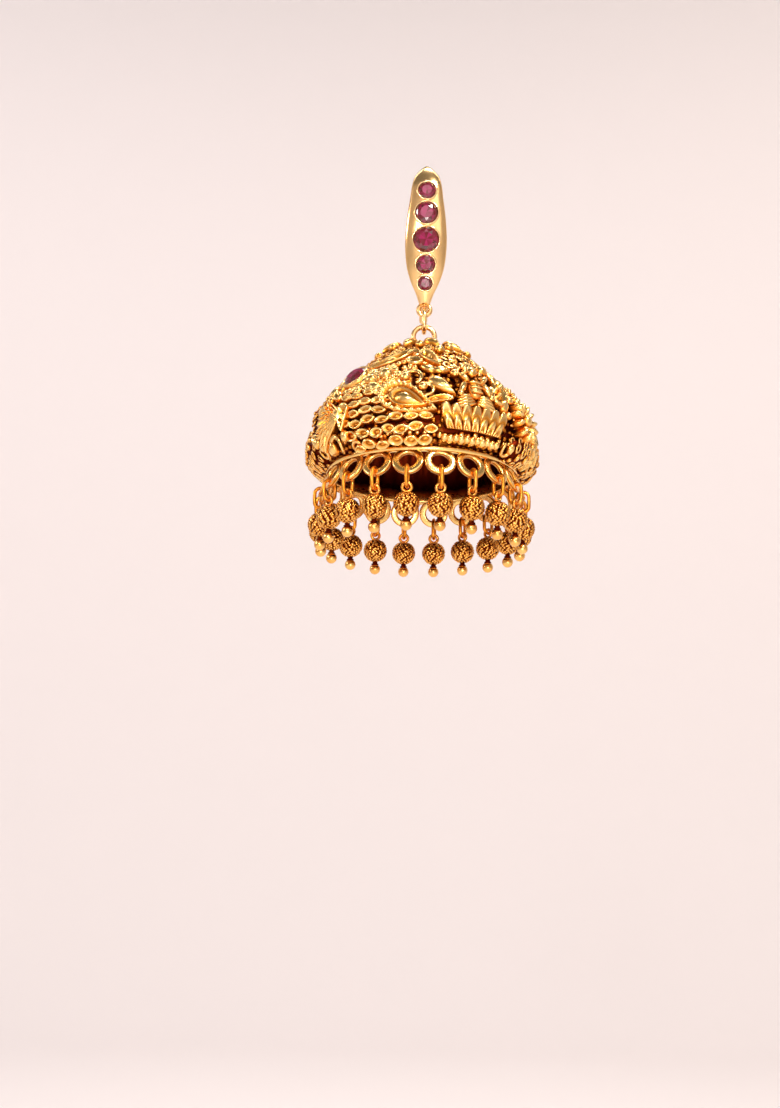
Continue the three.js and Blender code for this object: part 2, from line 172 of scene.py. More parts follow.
def bend_ring(radius, wire, flat=1.0, sides=12, turns=32, stretch=0.0):
    """A closed ring of wire round the Y axis, with straight sides of twice the stretch along Z."""
    bm = bmesh.new()
    bm.verts.layers.float.new("relief")
    section = Matrix.Translation((radius, 0, 0))
    circle = bmesh.ops.create_circle(bm, segments=sides, radius=wire, matrix=section)
    bmesh.ops.scale(bm, vec=(1, flat, 1), verts=circle["verts"])
    round_y = {"axis": (0, 1, 0), "angle": math.tau, "steps": turns, "use_merge": True}
    bmesh.ops.spin(bm, geom=bm.verts[:] + bm.edges[:], **round_y)
    for v in bm.verts:
        if abs(v.co.z) > 1e-4:
            v.co.z += math.copysign(stretch, v.co.z)
    bmesh.ops.recalc_face_normals(bm, faces=bm.faces)
    return bm


def spin_profile(bm, rows, steps, merge=1e-4):
    """Spins rows of (radius, level), or (radius, level, relief), round the Z axis into a skin."""
    relief = bm.verts.layers.float.get("relief")
    chain = []
    for radius, level, *tone in rows:
        corner = bm.verts.new((radius, 0, level))
        if tone:
            corner[relief] = tone[0]
        chain.append(corner)
    edges = [bm.edges.new(pair) for pair in zip(chain, chain[1:])]
    bmesh.ops.spin(bm, geom=chain + edges, axis=(0, 0, 1), angle=math.tau, steps=steps, use_merge=True)
    bmesh.ops.remove_doubles(bm, verts=bm.verts, dist=merge)


def mark_relief(bm, value):
    """Sets how high a part counts in its relief attribute: 0 is a recess and 1 a crest."""
    relief = bm.verts.layers.float.get("relief") or bm.verts.layers.float.new("relief")
    for v in bm.verts:
        v[relief] = value
    return bm


def solder(bm, part):
    """Adds a part to a piece."""
    shape = bpy.data.meshes.new("part")
    part.to_mesh(shape)
    part.free()
    bm.from_mesh(shape)
    bpy.data.meshes.remove(shape)


def keep_piece(name, bm, material, body, finish, *nodes, smooth=True):
    """Turns a piece made in mm into an object in metres that stands for solids of the frame."""
    millimetre = 0.001
    bmesh.ops.scale(bm, vec=(millimetre, millimetre, millimetre), verts=bm.verts)
    shape = bpy.data.meshes.new(name)
    bm.to_mesh(shape)
    bm.free()
    for face in shape.polygons:
        face.use_smooth = smooth
    shape.materials.append(material)
    piece = bpy.data.objects.new(name, shape)
    bpy.context.collection.objects.link(piece)
    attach(piece, body)
    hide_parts(*nodes)
    return piece


def facing_out(place, out, axis=(0, 0, 1)):
    """The matrix that takes a part from the origin to a place and turns one of its axes outwards."""
    return Matrix.Translation(place) @ Vector(axis).rotation_difference(out).to_matrix().to_4x4()


def plate_line(along):
    """A place on the plate's centre line, and the direction that faces out of it."""
    if along < 0:
        rise = -along / arch_radius
        level = arch_level + arch_radius * math.sin(rise)
        place = Vector((0, -arch_radius * math.cos(rise), level))
        return place, Vector((0, -math.cos(rise), math.sin(rise)))
    turn = along / plate_bend
    back = plate_bend - arch_radius - plate_bend * math.cos(turn)
    place = Vector((0, back, arch_level - plate_bend * math.sin(turn)))
    return place, Vector((0, -math.cos(turn), -math.sin(turn)))


def plate_section(along):
    """The plate's section at a distance down its line, domed in front and shallower behind."""
    half = follow(plate_halves, along)
    place, out = plate_line(along)
    front = min(plate_dome, half)
    back = min(plate_back, half)

    def corner(angle):
        rise = math.sin(angle) * (front if math.sin(angle) > 0 else back)
        return place + Vector((half * math.cos(angle), 0, 0)) + out * rise

    return corner


def wire_section(here, ahead, radius):
    """A round section at a point of the ear wire, square to the way it runs."""
    side = Vector((1, 0, 0))
    up = side.cross(ahead - here).normalized()

    def corner(angle):
        return here + (side * math.cos(angle) + up * math.sin(angle)) * radius

    return corner


hook_finish = {"satin": 0.12, "grain": 900, "dents": 0.14}
hook_gold = gold_plate("polished_gold", hook_patina, hook_body, hook_crest_highlight, **hook_finish)
hook = bmesh.new()
plate_length = plate_end - plate_top
plate_stops = [plate_top + plate_length * i / plate_steps for i in range(plate_steps + 1)]
draw_bar(hook, plate_sides, [plate_section(along) for along in plate_stops])

# The wire's line, as rows of (back, level), follows the arch and then falls behind the plate.
wire_turns = [math.radians(150 - 10 * i) for i in range(16)]
wire_points = [(arch_radius * math.cos(a), arch_level + arch_radius * math.sin(a)) for a in wire_turns]
wire_points += [(3.5, arch_level - 3.0), (3.2, arch_level - 6.0), (3.3, arch_level - 8.6)]
wire_points += [(4.0, arch_level - 10.4), (5.0, arch_level - 11.2)]
wire_y = [(i, point[0]) for i, point in enumerate(wire_points)]
wire_z = [(i, point[1]) for i, point in enumerate(wire_points)]
wire_line = [i * (len(wire_points) - 1) / wire_steps for i in range(wire_steps + 1)]
wire_line = [Vector((0, follow(wire_y, t), follow(wire_z, t))) for t in wire_line]
wire_tangent = (wire_line[-1] - wire_line[-2]).normalized()
wire_sections = []
for i in range(wire_steps):
    wire_sections.append(wire_section(wire_line[i], wire_line[i + 1], wire_radius))
for share in (0.0, 0.35, 0.6, 0.8, 0.95, 0.995):  # the wire's end is rounded over
    here = wire_line[-1] + wire_tangent * share * wire_radius
    thinner = wire_radius * math.sqrt(1 - share * share)
    wire_sections.append(wire_section(here, here + wire_tangent, thinner))
draw_bar(hook, wire_sides, wire_sections)

hook_loop = bend_ring(loop_radius, loop_wire)
bmesh.ops.translate(hook_loop, vec=(0, 0, loop_level), verts=hook_loop.verts)
solder(hook, hook_loop)

for along, radius in stone_seats:
    place, out = plate_line(along)
    rim = bend_ring(radius + rim_wire, rim_wire, flat=1.3, sides=10, turns=36)
    seat = facing_out(place + out * (plate_dome + rim_stand), out, (0, 1, 0))
    bmesh.ops.transform(rim, matrix=seat, verts=rim.verts)
    # the rims take the bright crest tone, a painted highlight
    solder(hook, mark_relief(rim, 1.0))
bmesh.ops.recalc_face_normals(hook, faces=hook.faces)
relief = hook.verts.layers.float["relief"]
for v in hook.verts:
    if v[relief] == 0:
        v[relief] = smooth_gold
keep_piece("ear_hook_gold", hook, hook_gold, "hook", "polished_gold", "ear_hook")

# Hook stones
# Five round cut stones of clear dark red glass, graduated and set in a row. Each has a flat table, two rows
# of crown facets and a pointed pavilion, and sits in a seat with a thin rim painted bright as a highlight.
# The light inside the stones is painted on their facets as reflections and glow.
# Painted reflections: the facets run from a painted dark tone to a painted glow, brightest in the table.
ruby_painted_dark = (0.05, 0.001, 0.001)
ruby_body = (0.13, 0.003, 0.012)
ruby_painted_glow = (0.3, 0.008, 0.075)
ruby_ior = 1.76
silk_share = 0.3
stone_sides = 10
stone_fill = 0.03


def red_glass(name, edge, body, heart):
    """Red glass with painted reflections: each facet has its own tone, standing in for what it mirrors of
    the stone's inside.
    """
    material = bpy.data.materials.new(name)
    material.use_nodes = True
    nodes = material.node_tree.nodes
    links = material.node_tree.links
    shader = nodes["Principled BSDF"]
    shader.inputs["Roughness"].default_value = 0.04
    shader.inputs["IOR"].default_value = ruby_ior
    shader.inputs["Coat Weight"].default_value = 0.3
    facet = nodes.new("ShaderNodeAttribute")
    facet.attribute_name = "facet"
    place = nodes.new("ShaderNodeTexCoord")
    silk = nodes.new("ShaderNodeTexNoise")
    silk.inputs["Scale"].default_value = 1500
    links.new(place.outputs["Object"], silk.inputs["Vector"])
    depth = nodes.new("ShaderNodeMath")
    depth.operation = "MULTIPLY_ADD"
    depth.inputs[1].default_value = silk_share
    links.new(silk.outputs["Fac"], depth.inputs[0])
    links.new(facet.outputs["Fac"], depth.inputs[2])
    # painted reflections: the facet tone, with the silk, runs from the painted dark tone to the painted glow
    tone = nodes.new("ShaderNodeValToRGB")
    tone.color_ramp.elements[0].color = (*edge, 1)
    tone.color_ramp.elements[0].position = 0.15
    tone.color_ramp.elements[1].color = (*heart, 1)
    tone.color_ramp.elements[1].position = 1.0
    middle = tone.color_ramp.elements.new(0.55)
    middle.color = (*body, 1)
    links.new(depth.outputs["Value"], tone.inputs["Fac"])
    links.new(tone.outputs["Color"], shader.inputs["Base Color"])
    return material


def cut_stone(radius, seed):
    """A round brilliant: girdle at z 0, table up."""
    crown = 0.3 * radius
    rows = [(0, crown), (0.56 * radius, crown), (0.82 * radius, 0.62 * crown), (radius, 0)]
    rows += [(radius, -0.12 * radius), (0.55 * radius, -0.38 * radius), (0, -0.6 * radius)]
    bm = bmesh.new()
    spin_profile(bm, rows, stone_sides)
    half_step = Matrix.Rotation(math.pi / stone_sides, 4, "Z")
    for v in bm.verts:
        share = v.co.xy.length / radius
        star_row = 0.7 < share < 0.9
        pavilion_row = 0.5 < share < 0.56 and v.co.z < 0
        if star_row or pavilion_row:
            v.co = half_step @ v.co
    bmesh.ops.recalc_face_normals(bm, faces=bm.faces)
    bmesh.ops.triangulate(bm, faces=bm.faces)
    facet = bm.faces.layers.float.new("facet")
    dice = random.Random(seed)

    def round_the_stone(face):
        middle = face.calc_center_median()
        return round(middle.z, 3), round((math.atan2(middle.y, middle.x) + 0.01) % math.tau, 3)

    # painted reflections: table facets lighter, the rest darker, each with a random spread
    for face in sorted(bm.faces, key=round_the_stone):
        reach = face.calc_center_median().xy.length / radius
        painted_reflection = 0.62 if reach < 0.5 else 0.34
        face[facet] = painted_reflection + dice.uniform(-0.28, 0.3)
    return bm


ruby_glass = red_glass("ruby_glass", ruby_painted_dark, ruby_body, ruby_painted_glow)
for number, (along, radius) in enumerate(stone_seats):
    place, out = plate_line(along)
    stone = cut_stone(radius + stone_fill, number)
    bmesh.ops.transform(stone, matrix=facing_out(place + out * plate_dome, out), verts=stone.verts)
    node = f"hook_ruby_{number + 1}"
    keep_piece(node + "_stone", stone, ruby_glass, "hook", "ruby", node, smooth=False)

# Jump link
# An oval link of round wire, soldered shut, polished and plated like the hook. It hangs loose in the hook's
# ring and carries the bell by the round ring on its apex.
top_ring_radius = 1.12
top_ring_wire = 0.28
top_ring_level = -18.32
jump_wire = 0.25
jump_half = 0.85
running_gap = 0.06
jump_top = loop_level - loop_radius + loop_wire + jump_wire + running_gap
jump_bottom = top_ring_level + top_ring_radius - top_ring_wire - jump_wire - running_gap
jump = bend_ring(jump_half, jump_wire, stretch=(jump_top - jump_bottom) / 2 - jump_half)
jump_middle = (jump_top + jump_bottom) / 2
jump_place = Matrix.Translation((0, 0, jump_middle)) @ Matrix.Rotation(math.pi / 2, 4, "Z")
bmesh.ops.transform(jump, matrix=jump_place, verts=jump.verts)
keep_piece("jump_link_wire", mark_relief(jump, 0.6), hook_gold, "link", "polished_gold", "jump_link")

# Bell
# The bell is one hollow casting. Its wall carries the relief outside and is ribbed and dark inside, and it
# ends in a smooth half-round band. The casting is plated in antique gold: red-brown patina stays in every
# recess, and the crests are rubbed bright. The dark tone in the recesses and inside is partly patina and
# partly painted shade.
bell_profile = [(1.0, -19.6), (2.6, -20.25), (4.45, -21.4), (6.45, -23.1), (8.35, -25.1)]
bell_profile += [(9.9, -27.3), (10.7, -29.3), (11.0, -31.1), (10.7, -32.5), (9.6, -33.2)]
bell_wall = 0.7
bell_apex = -19.6
bell_turns = 160
band_radius = 9.6
band_level = -33.58
band_half = 0.36
rib_count = 40
rib_depth = 0.25
rib_reach = 2.0
# Relief tones: the bare wall is dark and the inside darkest, both partly patina and partly painted shade;
# the band is bright.
wall_tone = 0.12
band_tone = 0.95
inside_patina_and_shade = -0.02
bell_patina_and_shade = (0.1, 0.009, 0.002)
bell_body = (0.82, 0.31, 0.032)
bell_crest = (1.0, 0.68, 0.24)
bell_finish = {"satin": 0.18, "grain": 5200, "dents": 0.3}
bell_gold = gold_plate("antique_gold", bell_patina_and_shade, bell_body, bell_crest, **bell_finish)

bell_downs = [0.0]
for (r0, z0), (r1, z1) in zip(bell_profile, bell_profile[1:]):
    bell_downs.append(bell_downs[-1] + math.hypot(r1 - r0, z1 - z0))
bell_radii = [(down, row[0]) for down, row in zip(bell_downs, bell_profile)]
bell_levels = [(down, row[1]) for down, row in zip(bell_downs, bell_profile)]
bell_length = bell_downs[-1]


def wall_at(down):
    """Radius and level of the wall, and its direction, at a distance in mm down it from the apex."""
    down = max(0.0, min(bell_length, down))
    step = 0.05
    here = Vector((follow(bell_radii, down), follow(bell_levels, down)))
    low = max(0.0, down - step)
    high = min(bell_length, down + step)
    wider = follow(bell_radii, high) - follow(bell_radii, low)
    lower = follow(bell_levels, high) - follow(bell_levels, low)
    return here, Vector((wider, lower)).normalized()


def on_bell(degrees, down, out):
    """A place on the bell: degrees round from the front, mm down the wall, mm out of it."""
    here, ahead = wall_at(down)
    radius = here.x - ahead.y * out
    angle = math.radians(degrees)
    return Vector((radius * math.sin(angle), -radius * math.cos(angle), here.y + ahead.x * out))


wall = bmesh.new()
relief = wall.verts.layers.float.new("relief")
outline = [(0.0, bell_apex, wall_tone)]
for i in range(49):  # down the outside
    here, ahead = wall_at(bell_length * i / 48)
    outline.append((here.x, here.y, wall_tone))
for i in range(13):  # round the band
    angle = math.radians(70 - 220 * i / 12)
    edge = (band_radius + band_half * math.cos(angle), band_level + band_half * math.sin(angle))
    outline.append((*edge, band_tone))
for i in range(32, -1, -1):  # up the inside
    here, ahead = wall_at(bell_length * i / 34)
    radius = max(0.02, here.x + ahead.y * bell_wall)
    outline.append((radius, here.y - ahead.x * bell_wall, inside_patina_and_shade))
outline.append((0.0, bell_apex - 1.2 * bell_wall, inside_patina_and_shade))
spin_profile(wall, outline, bell_turns)
for v in wall.verts:
    reach = v.co.xy.length
    if v[relief] < 0 and reach > rib_reach:  # ribs inside the bell
        rib = 0.5 + 0.5 * math.cos(rib_count * math.atan2(v.co.y, v.co.x))
        v.co.xy *= 1 - rib_depth * rib / reach
bmesh.ops.recalc_face_normals(wall, faces=wall.faces)
keep_piece("bell_wall", wall, bell_gold, "drop", "antique_gold", "jhumka_dome")

top_ring = bend_ring(top_ring_radius, top_ring_wire)
bmesh.ops.translate(top_ring, vec=(0, 0, top_ring_level), verts=top_ring.verts)
keep_piece("bell_top_ring", mark_relief(top_ring, 0.6), hook_gold, "drop", "polished_gold", "jhumka_dome")

# Relief on the bell
# The ornament is cast in one with the wall: a peacock with chained feather scales and a teardrop wing, a
# lotus seat with a small seated figure, flower bosses, leaves, scrolls and granules. One panel is repeated
# on the other half of the bell. Each ornament is shaped flat, in mm, then laid on the wall.
seat_at = 24.6
figure_at = 25
golden_turn = math.pi * (3 - math.sqrt(5))


def cast_boss(profile, steps, reach, swell=None):
    """A boss from (share, height) rows, foot first. reach gives its outline, and swell ridges its top."""
    bm = bmesh.new()
    relief = bm.verts.layers.float.new("relief")
    spin_profile(bm, profile, steps, merge=1e-5)
    top = max(height for share, height in profile)
    for v in bm.verts:
        share = v.co.xy.length
        angle = math.atan2(v.co.x, v.co.y)
        if swell and v.co.z > 0:
            v.co.z *= swell(share, angle)
        v[relief] = max(0.0, v.co.z / top) ** 1.4
        v.co.xy = reach(angle) * share
    bmesh.ops.recalc_face_normals(bm, faces=bm.faces)
    return bm


def teardrop(length, width):
    """An outline with its point towards +Y."""

    def reach(a):
        across = width * 0.8 * math.sin(a) * math.sin(abs(a) / 2) ** 1.1
        return Vector((across, length / 2 * math.cos(a)))

    return reach


def almond(length, width):
    """An outline pointed at both ends, along Y."""

    def reach(a):
        across = width / 2 * math.sin(a) * abs(math.sin(a)) ** 0.4
        return Vector((across, length / 2 * math.cos(a)))

    return reach


def petalled(radius, petals, depth):
    """A round outline with a lobe for each petal."""

    def reach(a):
        out = radius * (1 - depth + depth * abs(math.cos(petals * a / 2)) ** 0.6)
        return Vector((out * math.sin(a), out * math.cos(a)))

    return reach


def lay(bm, part, degrees, down, turn=0.0, rise=0.0, bow=0.0):
    """Turns a flat part by degrees, bows it sideways, lays it on the bell and adds it to a piece."""
    girth = wall_at(down)[0].x
    for v in part.verts:
        v.co.x += bow * v.co.y * v.co.y
    bmesh.ops.rotate(part, matrix=Matrix.Rotation(math.radians(turn), 3, "Z"), verts=part.verts)
    for v in part.verts:
        v.co = on_bell(degrees + math.degrees(v.co.x / girth), down - v.co.y, v.co.z + rise)
    solder(bm, part)


def ball(radius, height=0.0, detail=2, low=0.3):
    """A granule. low is how dark its foot is, as a share of its crest."""
    bm = bmesh.new()
    relief = bm.verts.layers.float.new("relief")
    bmesh.ops.create_icosphere(bm, subdivisions=detail, radius=radius)
    for v in bm.verts:
        v[relief] = low + (1 - low) * max(0.0, v.co.z / radius)
    bmesh.ops.translate(bm, vec=(0, 0, height), verts=bm.verts)
    return bm


def scroll(radius, wire, start, stop, height=0.3):
    """A tapering curl of round wire with a ball at its inner end, drawn from one angle to another."""
    bm = bmesh.new()
    relief = bm.verts.layers.float.new("relief")
    section = Matrix.Translation((radius, 0, 0)) @ Matrix.Rotation(math.pi / 2, 4, "X")
    bmesh.ops.create_circle(bm, segments=8, radius=wire, matrix=section)
    sweep = math.radians(stop - start)
    bmesh.ops.spin(bm, geom=bm.verts[:] + bm.edges[:], axis=(0, 0, 1), angle=sweep, steps=16)
    for v in bm.verts:
        angle = math.atan2(v.co.y, v.co.x) % (2 * math.pi)
        if angle > sweep + 0.01:
            angle = 0.0
        part = angle / sweep
        centre = Vector((math.cos(angle), math.sin(angle), 0)) * radius
        v[relief] = 0.25 + 0.75 * max(0.0, v.co.z / wire)
        v.co = centre * (1 - 0.45 * part) + (v.co - centre) * (0.5 + 0.5 * part)
    bmesh.ops.holes_fill(bm, edges=bm.edges, sides=0)
    knob = ball(wire * 1.7)
    inner_end = Vector((math.cos(sweep), math.sin(sweep), 0)) * radius * 0.55
    bmesh.ops.translate(knob, vec=inner_end, verts=knob.verts)
    solder(bm, knob)
    bmesh.ops.rotate(bm, matrix=Matrix.Rotation(math.radians(start), 3, "Z"), verts=bm.verts)
    bmesh.ops.recalc_face_normals(bm, faces=bm.faces)
    bmesh.ops.translate(bm, vec=(0, 0, height), verts=bm.verts)
    return bm


def long_leaf(length, width, height):
    """A leaf with a raised edge and a midrib."""
    rows = [(1, -0.4), (1, 0.6 * height), (0.93, 0.95 * height), (0.8, 0.9 * height)]
    rows += [(0.6, 0.45 * height), (0.35, 0.4 * height), (0.12, 0.95 * height), (0, height)]
    return cast_boss(rows, 28, teardrop(length, width))


def bud(length, width, height):
    """A smooth swelling bud with its point towards +Y."""
    rows = [(1, -0.4), (1, 0.3 * height), (0.86, 0.68 * height)]
    rows += [(0.6, 0.92 * height), (0.3, height), (0, height)]
    return cast_boss(rows, 24, teardrop(length, width))


def scale_ring(length, width, height):
    """One feather scale: a raised almond rim round a hollow with a ridge in it."""
    rows = [(1, -0.3), (1, 0.6 * height), (0.9, 0.95 * height), (0.72, 0.95 * height)]
    rows += [(0.52, 0.4 * height), (0.25, 0.62 * height), (0, 0.68 * height)]
    return cast_boss(rows, 20, almond(length, width))


def flower(radius, petals, height):
    """A rosette of deep-grooved petals with a ball at its heart."""
    rows = [(1, -0.5), (1, 0.4 * height), (0.95, 0.72 * height), (0.78, height), (0.52, 0.95 * height)]
    rows += [(0.3, 0.5 * height), (0, 0.45 * height)]

    def swell(share, angle):
        groove = abs(math.cos(petals * angle / 2)) ** 0.5
        return 0.3 + 0.7 * groove if share > 0.2 else 1

    bm = cast_boss(rows, 12 * petals, petalled(radius, petals, 0.34), swell)
    solder(bm, ball(0.28 * radius, 0.7 * height))
    return bm


def teardrop_wing(length, width):
    """A peacock's wing: a ticked rim round a long polished drop."""
    rows = [(1, -0.4), (1, 0.8), (0.95, 1.0), (0.84, 1.0), (0.78, 0.45), (0.66, 0.4), (0.62, 0.8)]
    rows += [(0.54, 0.95), (0.48, 0.6), (0.4, 0.7), (0.2, 1.0), (0, 1.1)]

    def swell(share, angle):
        return 1 + 0.16 * math.cos(26 * angle) if 0.8 < share < 0.97 else 1

    return cast_boss(rows, 104, teardrop(length, width), swell)


def lobe(wide, tall, high, height=0.0):
    """A smooth swelling, half sunk in what lies under it."""
    bm = bmesh.new()
    relief = bm.verts.layers.float.new("relief")
    bmesh.ops.create_uvsphere(bm, u_segments=16, v_segments=10, radius=1)
    for v in bm.verts:
        v[relief] = 0.3 + 0.7 * max(0.0, v.co.z)
    bmesh.ops.scale(bm, vec=(wide, tall, high), verts=bm.verts)
    bmesh.ops.translate(bm, vec=(0, 0, height), verts=bm.verts)
    return bm


def ringlet(radius, wire):
    """A tiny ring of round wire, lying flat."""
    bm = bend_ring(radius, wire, sides=6, turns=10)
    bmesh.ops.rotate(bm, matrix=Matrix.Rotation(math.pi / 2, 3, "X"), verts=bm.verts)
    relief = bm.verts.layers.float["relief"]
    for v in bm.verts:
        v[relief] = 0.2 + 0.8 * max(0.0, v.co.z / wire)
    return bm


def granulated_pad(wide, tall, high, count, size):
    """A low mound, dark with patina and painted shade, covered in tiny ringlets and granules."""
    bm = mark_relief(lobe(wide, tall, high), 0.05)
    for i in range(count):
        share = math.sqrt((i + 0.5) / count)
        grain = ball(size, detail=2, low=0.0) if i % 4 == 0 else ringlet(size, 0.42 * size)
        across = wide * share * math.cos(i * golden_turn)
        along = tall * share * math.sin(i * golden_turn)
        place = (across, along, high * math.sqrt(1 - share**2))
        bmesh.ops.translate(grain, vec=place, verts=grain.verts)
        solder(bm, grain)
    return bm


def fluted_bowl(petals, bottom, top, tall):
    """The lotus seat: broad petals under a scalloped edge, each with fine lines that follow its tip."""
    bm = bmesh.new()
    relief = bm.verts.layers.float.new("relief")
    bmesh.ops.create_grid(bm, x_segments=24 * petals, y_segments=28, size=1)
    for v in bm.verts:
        x, y = v.co.x, v.co.y
        up = (y + 1) / 2
        inside = (petals * (x + 1) / 2) % 1 * 2 - 1
        crest = max(0.0, 1 - inside * inside) ** 0.5
        line = math.cos(15 * math.hypot(0.6 * inside, 0.9 * up))
        foot = abs(x) > 0.999 or abs(y) > 0.999
        v[relief] = 0.0 if foot else 0.22 + 0.55 * crest + 0.28 * line
        half = (bottom + (top - bottom) * up ** 0.7) / 2
        edge = 0.4 * crest * max(0.0, up - 0.75) / 0.25
        height = -0.4 if foot else 0.7 + 0.45 * up + (0.06 + 0.16 * up) * crest + 0.045 * line
        v.co = Vector((x * half, y * tall / 2 + edge, height))
    bmesh.ops.recalc_face_normals(bm, faces=bm.faces)
    return bm


def feather_field(bm, around):
    """Rows of long scales chained along the peacock's body, with smaller ones over its shoulder."""
    dice = random.Random(3)
    # each chain: mm down the wall, first and last degree
    chains = [(13.2, -43, -19), (14.15, -44, -15), (15.1, -43, -9)]
    chains += [(16.0, -41, 2), (16.9, -38, 8), (17.7, -35, 3)]
    for down, first, last in chains:
        degrees = first
        while degrees < last:
            length = 1.42 * dice.uniform(0.9, 1.1)
            step = math.degrees((length - 0.16) / wall_at(down)[0].x)
            wave = 0.12 * math.sin(0.5 * degrees) - 0.006 * (degrees + 20)
            scale = scale_ring(length, 0.68 * dice.uniform(0.92, 1.08), 0.95)
            lay(bm, scale, around + degrees, down + wave, 90 + dice.uniform(-7, 7), rise=0.2)
            degrees += step
    for i in range(40):
        degrees = -47 + 3.1 * (i % 10) + dice.uniform(-0.8, 0.8)
        down = 12.3 - 0.8 * (i // 10) + dice.uniform(-0.15, 0.15)
        lay(bm, scale_ring(1.0, 0.62, 0.75), around + degrees, down, 70 + dice.uniform(-30, 30), rise=0.1)


def lotus_seat(bm, around):
    """The lotus on its row of eleven pearls."""
    lay(bm, fluted_bowl(7, 5.3, 6.9, 1.75), around + seat_at, 16.0, -1)
    for i in range(11):
        x = -1 + 2 * i / 10
        lay(bm, ball(0.36 + 0.05 * (i % 2), 0.4), around + figure_at + 15 * x, 17.5 + 0.08 * (i % 2))


def seated_figure(bm, around):
    """A small plain figure, cross-legged on the lotus, with a crown and a bow of pearls round its head."""
    middle = around + figure_at
    for side in (-1, 1):
        for i in range(4):  # folds of the dress over the crossed legs
            fold = lobe(1.1 - 0.12 * i, 0.22, 0.42, 1.0)
            lay(bm, fold, middle + 5.4 * side, 14.75 - 0.3 * i, -16 * side)
        lay(bm, lobe(0.3, 0.95, 0.42, 1.2), middle + 6.3 * side, 12.9, 24 * side)  # lower arm
        lay(bm, lobe(0.26, 0.62, 0.4, 1.45), middle + 5.6 * side, 12.0, -42 * side)  # upper arm
        lay(bm, ball(0.3, 1.35), middle + 8.2 * side, 13.75)  # knee
        lay(bm, ball(0.24, 1.5), middle + 4.4 * side, 11.3)  # ear pendant
    lay(bm, lobe(0.72, 1.1, 0.75, 0.95), middle, 12.95)  # body
    for i in range(3):  # necklaces and belt
        lay(bm, lobe(0.7 - 0.08 * i, 0.12, 0.3, 1.55), middle, 12.6 + 0.5 * i)
    lay(bm, lobe(0.52, 0.62, 0.6, 1.3), middle, 11.1)  # head
    for i in range(11):
        angle = math.radians(-105 + 210 * i / 10)
        lay(bm, ball(0.2, 0.9), middle + 6.6 * math.sin(angle), 10.8 - 1.05 * math.cos(angle))
    crown_rows = [(1, 0), (1, 1.1), (0.75, 1.45), (0.3, 1.65), (0, 1.7)]
    crown = cast_boss(crown_rows, 20, petalled(0.48, 5, 0.2))
    lay(bm, crown, middle, 10.25)


# Each ornament of the panel is laid at degrees round from its front, mm down the wall and a turn in degrees.
birds = bmesh.new()
seats = bmesh.new()
leaves = bmesh.new()
curls = bmesh.new()
for around in (0, 180):
    feather_field(birds, around)
    lay(birds, teardrop_wing(5.7, 2.45), around - 8.6, 14.4, -113, rise=0.45)
    for i in range(6):  # short quills behind the wing
        quill = long_leaf(1.9, 0.62, 0.85)
        lay(birds, quill, around - 25 + 3.2 * i, 12.3 + 0.08 * i, 20 - 8 * i, rise=0.25)
    lay(birds, scroll(1.0, 0.3, -65, 190, 1.0), around - 7.3, 11.75)
    lay(birds, scroll(0.72, 0.27, -110, 150, 1.0), around + 0.6, 13.25)
    lay(birds, ball(0.78, 0.55), around - 23.4, 10.75)
    lay(birds, ball(0.7, 0.5), around - 32.3, 11.2)
    lay(birds, ball(0.42, 0.6), around - 11.9, 11.0)
    for i in range(6):  # pearls along the peacock's neck
        lay(birds, ball(0.3, 0.6), around - 27 + 3.2 * i, 9.75 - 0.22 * i)
    lotus_seat(seats, around)
    seated_figure(seats, around)
    lay(seats, long_leaf(3.6, 0.55, 0.9), around + 4.5, 14.35, 108, bow=-0.1, rise=0.3)
    lay(seats, long_leaf(2.5, 1.3, 1.15), around + 40.5, 12.9, -30, rise=0.3)
    lay(seats, ball(0.62, 0.6), around + 39.8, 9.2)
    lay(seats, ball(0.5, 0.6), around + 17.5, 10.6)
    lay(seats, flower(1.95, 11, 1.75), around + 58.5, 14.7, 12)
    lay(seats, granulated_pad(2.1, 1.5, 1.1, 24, 0.26), around + 60, 17.5, rise=0.1)
    lay(leaves, long_leaf(6.0, 1.1, 0.7), around - 27, 7.9, 126, bow=0.05, rise=0.1)
    lay(leaves, long_leaf(3.4, 1.1, 1.0), around + 3.2, 8.0, -152, rise=0.1)
    lay(leaves, bud(3.4, 1.25, 1.1), around + 8.4, 12.75, -128, rise=0.3)
    lay(leaves, scale_ring(1.9, 1.3, 0.9), around - 7.6, 8.5, 75)
    lay(leaves, ball(0.55, 0.55), around + 13.7, 5.6)
    lay(leaves, granulated_pad(1.9, 1.6, 1.0, 24, 0.24), around - 80, 13.0)
    lay(leaves, granulated_pad(2.3, 2.2, 1.15, 40, 0.24), around - 79, 16.9)
    lay(leaves, granulated_pad(2.2, 2.2, 1.05, 38, 0.24), around + 86, 16.9)
    for i in range(9):  # fan of feathers that spreads from the spike
        turn = 46 + 11.5 * i
        reach = 1.65 + 0.1 * (i % 2)
        across = math.degrees(reach * math.sin(math.radians(turn)) / 10.3)
        down = 15.1 - reach * math.cos(math.radians(turn))
        lay(leaves, long_leaf(3.3, 0.58, 1.05), around - 46 - across, down, turn, rise=0.2)
    lay(leaves, scroll(0.75, 0.28, -60, 200, 0.8), around - 49.5, 17.3)
    lay(leaves, ringlet(0.36, 0.16), around - 60.5, 14.2, rise=0.9)
    lay(leaves, long_leaf(2.4, 0.9, 1.15), around - 41.5, 15.4, 180, rise=0.5)
    lay(leaves, ball(0.42, 1.0), around - 41.0, 16.9)
    lay(leaves, ball(0.5, 0.7), around - 65.3, 16.6)
    lay(leaves, ringlet(0.5, 0.18), around - 37.5, 17.9, rise=0.5)

